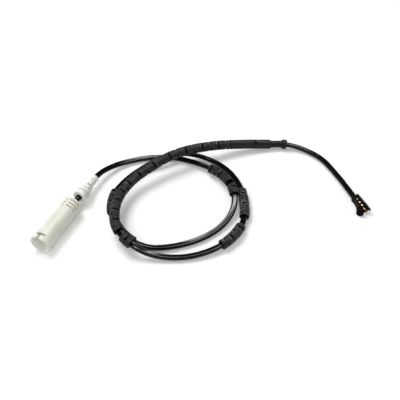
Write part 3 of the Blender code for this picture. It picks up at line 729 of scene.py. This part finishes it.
nearest_route = kdtree.KDTree(len(route_curve))
for i, point in enumerate(route_curve):
    nearest_route.insert(point, i)
nearest_route.balance()
sleeve_plastic = sleeve_finish()
saw_reach = sleeve_radius + overcut
saw_low = (slot_floor, -saw_reach, -slot_width / 2.0)
saw_high = (saw_reach, saw_reach, slot_width / 2.0)
for name, start, end, marked, turn in sleeve_stations:
    sleeve_profile = tube_profile(start, end, sleeve_radius, sleeve_bore, 0.22 * mm, ring_step)
    sleeve = on_route(f"{name}_tube", sleeve_profile, sleeve_sides, 40.0)
    for vertex in sleeve.data.vertices:
        vertex.co.z += uneven_height * (noise.noise(vertex.co / uneven_size) - 1.2)
    saw = bmesh.new()
    for distance, quarters in slot_spots(start, end, marked):
        tilt = math.radians(turn + 90.0 * quarters) + slot_twist * (distance - marked)
        for side in (0.0, math.pi):
            place = on_cable(distance) @ Matrix.Rotation(tilt + side, 4, "Z")
            add_block(saw, place, saw_low, saw_high)
    shape_with(sleeve, piece_from("saw", saw))
    soften_edges(sleeve, 0.14 * mm, 45.0, 1)
    # Painted shade: mark how far below the outside each point lies, so that the finish paints the slot walls
    # near black.
    deep = sleeve.data.attributes.new("deep", "FLOAT", "POINT")
    for i, vertex in enumerate(sleeve.data.vertices):
        radius = nearest_route.find(vertex.co)[2]
        deep.data[i].value = max(0.0, (sleeve_radius - 0.2 * mm - radius) / (sleeve_radius - sleeve_bore))
    dress(sleeve, sleeve_plastic)
    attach(sleeve, "root")
    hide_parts(name)


# The guide tube: one plain length of the same tube without saw cuts, split along its lower
# side so that it can be slipped over the cable, with two faint creases beside the split and an
# oval hole in its upper side.
guide_start = sleeve_stations[-1][2] + 0.6 * mm
guide_end = guide_start + 39.5 * mm
seam_angle = math.radians(194.0)
seam_width = 0.6 * mm
seam_steps = 27
creases = (seam_angle - math.radians(62.0), seam_angle - math.radians(24.0))
crease_depth = 0.26 * mm
crease_width = math.radians(5.0)
guide_profile = tube_profile(guide_start, guide_end, sleeve_radius, sleeve_bore, 0.25 * mm, ring_step)
guide_sides = 64
guide_rings = []
for distance, radius in guide_profile:
    place = on_cable(distance)
    ring = []
    for i in range(guide_sides):
        turn = math.tau * i / guide_sides
        drawn = radius
        if radius > sleeve_bore + 0.5 * mm:
            for crease in creases:
                away = math.remainder(turn - crease, math.tau)
                drawn -= crease_depth * math.exp(-(away / crease_width) ** 2)
        ring.append(place @ Vector((drawn * math.cos(turn), drawn * math.sin(turn), 0.0)))
    guide_rings.append(ring)
guide_tube = skin("guide_tube_extrusion", guide_rings, "joined", 40.0)
seam_low = sleeve_bore - 0.6 * mm
seam_corners = [(x, y * seam_width / 2.0) for x, y in ((seam_low, -1.0), (saw_reach, -1.0),
                                                       (saw_reach, 1.0), (seam_low, 1.0))]
seam_rings = []
for i in range(seam_steps + 1):
    place = on_cable(guide_start - overcut + (guide_end - guide_start + 2.0 * overcut) * i / seam_steps)
    place = place @ Matrix.Rotation(seam_angle, 4, "Z")
    seam_rings.append([place @ Vector((x, y, 0.0)) for x, y in seam_corners])
shape_with(guide_tube, skin("seam", seam_rings))
guide_hole = drill("hole", guide_end - 14.6 * mm, 24.0, 0.9 * mm, 1.5 * mm, 2.4 * mm, saw_reach, 24)
shape_with(guide_tube, guide_hole)
soften_edges(guide_tube, 0.12 * mm, 45.0, 1)


def guide_finish():
    """The same plastic with its smooth drawn skin left on, rubbed pale in spots."""
    material, tree, shader, where = start_finish("guide_plastic", 0.46, specular=0.2)
    cloud = mottle(tree, where, 7.0 * mm)
    scuff = mottle(tree, where, 1.1 * mm, 6.0, 0.75)
    grain = mottle(tree, where, 0.4 * mm, 4.0)
    base = shade(tree, cloud, (0.30, (0.008, 0.0078, 0.0075)), (0.72, (0.018, 0.0175, 0.0165)))
    tree.links.new(blend_colours(tree, span(tree, scuff, 0.0, 0.6, 0.55, 0.72), base, (0.08, 0.077, 0.072)),
                   shader.inputs["Base Color"])
    tree.links.new(span(tree, grain, 0.38, 0.56), shader.inputs["Roughness"])
    raise_surface(tree, shader, grain, 0.03 * mm, 0.6)
    return material


dress(guide_tube, guide_finish())
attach(guide_tube, "root")
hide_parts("guide_tube")


# The bracket grommet: black rubber moulded round the cable, a neck with two vent dimples and
# a round bead that snaps into the slot of a bracket on the vehicle.
neck_start = guide_end + 0.6 * mm
neck_end = neck_start + 9.9 * mm
neck_radius = 3.2 * mm
bead_half = 2.6 * mm
bead_middle = neck_end + bead_half
bead_end = bead_middle + bead_half
bead_radius = 4.42 * mm
bead_steps = 12
vent_radius = 0.65 * mm
neck_bends = ((neck_start, cable_hole), (neck_start, neck_radius), (neck_end, neck_radius))
grommet_profile = rounded(*neck_bends, 0.25 * mm, 2)
grommet_profile += [(neck_start + step * mm, neck_radius) for step in (1.5, 3, 4.5, 6, 7.5, 9)]
grommet_profile.append((neck_end - 0.4 * mm, neck_radius))
for i in range(bead_steps + 1):
    turn = math.pi * i / bead_steps
    grommet_profile.append((bead_middle - bead_half * math.cos(turn),
                            neck_radius + (bead_radius - neck_radius) * math.sin(turn) ** 0.6))
grommet_profile.append((bead_end, cable_hole))
grommet_profile += [(bead_end - step * mm, cable_hole) for step in (3, 6, 9, 12)]
grommet_profile.append((neck_start, cable_hole))
grommet = on_route("bracket_grommet_rubber", grommet_profile, 48, 50.0)
for back in (4.2 * mm, 7.8 * mm):
    shape_with(grommet, drill("vent", neck_start + back, 28.0, vent_radius, vent_radius,
                              cable_hole - 0.2 * mm, neck_radius + overcut))
smooth_but_edges(grommet, 50.0)
dress(grommet, grommet_rubber)
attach(grommet, "root")
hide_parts("bracket_grommet")


# The sensor head's body: a black glass-filled moulding, a rail along one side, a leg on the
# other, and between them a channel under a roof with three windows. It lies on its flat side.
head_origin = Vector((-7.4, 7.57, 0.0)) * mm
head_yaw = math.radians(-43.5)
in_head = Matrix.Translation(head_origin) @ Matrix.Rotation(head_yaw, 4, "Z")
head_height = 6.0 * mm
head_length = 19.5 * mm
head_left = 3.3 * mm
channel_half = 1.4 * mm
channel_floor = 1.8 * mm
channel_roof = 5.3 * mm
wall_side = -2.2 * mm
leg_end = 13.3 * mm
floor_end = 16.6 * mm
roof_end = 14.4 * mm
head_outline = [(0.0, -2.5 * mm), (5.5 * mm, -2.5 * mm), (9.5 * mm, -3.65 * mm), (leg_end, -5.4 * mm),
                (leg_end, wall_side), (floor_end, wall_side), (floor_end, 1.2 * mm),
                (head_length, head_left - 0.8 * mm), (head_length, head_left), (0.0, head_left)]
head_body = outline_block("head_body_moulding", in_head, head_outline, 0.0, head_height)
channel_start = 2.2 * mm
tip_underside = head_height - 2.2 * mm
past_tip = head_length + overcut
above_head = head_height + overcut
window_half = channel_half - 0.1 * mm
window_floor = channel_floor + 1.0 * mm
head_cuts = [((channel_start, -channel_half, channel_floor), (past_tip, channel_half, channel_roof)),
             ((roof_end, wall_side - overcut, channel_floor + 0.1 * mm), (past_tip, window_half, above_head)),
             ((floor_end, wall_side, -overcut), (past_tip, head_left + overcut, tip_underside))]
for window_start, window_end in ((3.2 * mm, 6.0 * mm), (7.1 * mm, 9.7 * mm), (10.6 * mm, 13.6 * mm)):
    head_cuts.append(((window_start, -window_half, window_floor), (window_end, window_half, above_head)))
for low, high in head_cuts:
    shape_with(head_body, block_cutter("cut", in_head, low, high))
soften_edges(head_body, 0.22 * mm, 40.0, 2)


def head_finish(name, low_colour, high_colour, roughness):
    """Black glass-filled nylon with a fine spark-eroded grain, greyed along its edges."""
    material, tree, shader, where = start_finish(name, roughness, specular=0.03)
    cloud = mottle(tree, where, 3.0 * mm)
    grain = mottle(tree, where, 0.22 * mm, 4.0)
    base = shade(tree, cloud, (0.3, low_colour), (0.75, high_colour))
    edge = add_node(tree, "ShaderNodeNewGeometry").outputs["Pointiness"]
    # Sharp edges are painted a lighter grey.
    edge_grey_mask = span(tree, edge, 0.0, 0.6, 0.54, 0.64)
    tree.links.new(blend_colours(tree, edge_grey_mask, base, (0.012, 0.012, 0.0125)), shader.inputs["Base Color"])
    tree.links.new(span(tree, grain, roughness - 0.08, roughness + 0.1), shader.inputs["Roughness"])
    raise_surface(tree, shader, grain, 0.03 * mm, 0.6)
    return material


dress(head_body, head_finish("head_nylon", (0.0008, 0.0008, 0.001), (0.0022, 0.0022, 0.0025), 0.5))
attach(head_body, "root")
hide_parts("head_body")


# The nub at the end of the leg: the round black end that the brake disc wears through. It is
# moulded over the wire loop, smoother than the body, and seats on the leg's flat end.
nub_middle = Vector((16.3, -4.3, 0.0)) * mm
nub_radius = 3.2 * mm
nub_flat = leg_end + 0.3 * mm
nub_side = wall_side - 0.3 * mm
nub_sides = 64
nub_levels = ((0.0, 0.35), (0.35, 0.0), (1.5, 0.0), (3.0, 0.0),
              (4.6, 0.0), (5.2, 0.12), (5.7, 0.45), (6.0, 1.1))
nub_rings = []
for height, shrink in nub_levels:
    radius = nub_radius - shrink * mm
    flat = nub_flat + shrink * 0.5 * mm
    side = nub_side - shrink * 0.5 * mm
    ring = []
    for i in range(nub_sides):
        turn = math.tau * i / nub_sides
        along = nub_middle.x + radius * math.cos(turn)
        across = nub_middle.y + radius * math.sin(turn)
        ring.append(in_head @ Vector((max(along, flat), min(across, side), height * mm)))
    nub_rings.append(ring)
wear_nub = skin("wear_nub_moulding", nub_rings, "capped", 50.0)
welded = bmesh.new()
welded.from_mesh(wear_nub.data)
bmesh.ops.remove_doubles(welded, verts=welded.verts, dist=0.001 * mm)
welded.to_mesh(wear_nub.data)
welded.free()
dress(wear_nub, head_finish("nub_nylon", (0.0005, 0.0008, 0.0012), (0.0015, 0.002, 0.003), 0.4))
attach(wear_nub, "root")
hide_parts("wear_nub")


# The spring clip: a bright brass strip folded up and down along the channel. It shows through
# the windows and stands out past the roof, where it grips the hole in the brake pad. Its tip is
# painted darker.
clip_thickness = 0.6 * mm
clip_half = 1.1 * mm
clip_crest = channel_roof - clip_thickness - 0.3 * mm
clip_tip = clip_crest - clip_thickness
darkening_start = 14.2 * mm
darkening_end = 15.4 * mm
clip_bends = [(2.5 * mm, clip_crest - 0.9 * mm), (3.4 * mm, clip_crest), (13.3 * mm, clip_crest),
              (14.4 * mm, clip_tip), (18.2 * mm, clip_tip)]
clip_line = [clip_bends[0]]
for before, corner, after in zip(clip_bends, clip_bends[1:], clip_bends[2:]):
    clip_line += rounded(before, corner, after, 0.3 * mm, 4)
clip_line.append(clip_bends[-1])
clip_outline = clip_line + [(along, height + clip_thickness) for along, height in reversed(clip_line)]
on_edge = in_head @ Matrix.Rotation(math.radians(90.0), 4, "X")
spring_clip = outline_block("spring_clip_strip", on_edge, clip_outline, -clip_half, clip_half)
soften_edges(spring_clip, 0.08 * mm, 50.0, 1)


def clip_finish():
    """The contacts' brass, painted darker towards the tip of the clip."""
    material = brass.copy()
    material.name = "clip_brass"
    tree = material.node_tree
    shader = tree.nodes["Principled BSDF"]
    bright = shader.inputs["Base Color"].links[0].from_socket
    where = add_node(tree, "ShaderNodeTexCoord").outputs["Object"]
    ahead = in_head.to_3x3() @ Vector((1.0, 0.0, 0.0))
    along = add_node(tree, "ShaderNodeVectorMath", {0: where, 1: ahead},
                     operation="DOT_PRODUCT").outputs["Value"]
    zero = head_origin.dot(ahead)
    # The brass is painted darker towards the clip's tip.
    tip_darkening = span(tree, along, 0.0, 0.94, zero + darkening_start, zero + darkening_end)
    tree.links.new(blend_colours(tree, tip_darkening, bright, (0.06, 0.034, 0.02)), shader.inputs["Base Color"])
    return material


dress(spring_clip, clip_finish())
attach(spring_clip, "root")
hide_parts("spring_clip")


# The floor and the light: a white table top that glows to pure white far out, a soft lamp
# behind to the left, a weaker one low in front, and a third overhead that only reflections show.
# The sky is pale, and reflections see it white at the horizon and dark overhead.
def seen_plainly(tree):
    """1 for what the camera, a reflection or a clear body sees, 0 for the light it gives."""
    ray = add_node(tree, "ShaderNodeLightPath").outputs
    seen = ray["Is Camera Ray"]
    for kind in ("Is Glossy Ray", "Is Transmission Ray"):
        seen = add_node(tree, "ShaderNodeMath", {0: seen, 1: ray[kind]},
                        operation="ADD", use_clamp=True).outputs["Value"]
    return seen


def table_finish():
    """A matt white top that glows faintly near the part and pure white from 1.2 metres out."""
    material = bpy.data.materials.new("white_table")
    material.use_nodes = True
    tree = material.node_tree
    tree.nodes.clear()
    paint = add_node(tree, "ShaderNodeBsdfDiffuse", {"Color": (0.9, 0.9, 0.9, 1.0)})
    where = add_node(tree, "ShaderNodeTexCoord").outputs["Object"]
    away = add_node(tree, "ShaderNodeVectorMath", {0: where}, operation="LENGTH").outputs["Value"]
    far_glow = span(tree, away, 0.16, 1.0, 0.4, 1.2)
    level = add_node(tree, "ShaderNodeMath", {0: seen_plainly(tree), 1: far_glow},
                     operation="MULTIPLY").outputs["Value"]
    glow = add_node(tree, "ShaderNodeEmission", {"Color": (1.0, 1.0, 1.0, 1.0), "Strength": level})
    both = add_node(tree, "ShaderNodeAddShader")
    tree.links.new(paint.outputs["BSDF"], both.inputs[0])
    tree.links.new(glow.outputs["Emission"], both.inputs[1])
    out = add_node(tree, "ShaderNodeOutputMaterial")
    tree.links.new(both.outputs["Shader"], out.inputs["Surface"])
    return material


table_half = 3.0
table_height = -0.2 * mm
table_shape = bmesh.new()
table_corners = []
for x, y in ((-1, -1), (1, -1), (1, 1), (-1, 1)):
    table_corners.append(table_shape.verts.new((x * table_half, y * table_half, table_height)))
table_shape.faces.new(table_corners)
table_top = piece_from("table_top", table_shape)
dress(table_top, table_finish())


def soft_lamp(name, size, power):
    """A square soft lamp, so wide in metres and so strong in watts."""
    lamp = bpy.data.lights.new(name, "AREA")
    lamp.shape = "SQUARE"
    lamp.size = size
    lamp.energy = power
    return bpy.data.objects.new(name, lamp)


key_light = soft_lamp("key_light", 0.6, 9.0)
key_light.visible_glossy = False
stand(key_light, azimuth=250.0, elevation=60.0, away=1.2)
fill_light = soft_lamp("fill_light", 0.6, 5.5)
fill_light.visible_glossy = False
stand(fill_light, azimuth=8.0, elevation=34.0, away=1.5)
glint_light = soft_lamp("glint_light", 0.5, 15.0)
glint_light.visible_diffuse = False
stand(glint_light, azimuth=174.0, elevation=71.0, away=1.2)

sky = bpy.data.worlds.new("pale_sky")
sky.use_nodes = True
air = sky.node_tree
background = air.nodes["Background"]
towards = add_node(air, "ShaderNodeTexCoord").outputs["Generated"]
rise = add_node(air, "ShaderNodeSeparateXYZ", {"Vector": towards}).outputs["Z"]
ceiling = span(air, rise, 1.0, 0.05, 0.05, 0.3)
strength = span(air, seen_plainly(air), 0.42, ceiling, 0.0, 1.0)
air.links.new(strength, background.inputs["Strength"])
background.inputs["Color"].default_value = (1.0, 1.0, 1.0, 1.0)
bpy.context.scene.world = sky

bpy.context.scene.view_settings.view_transform = "Standard"
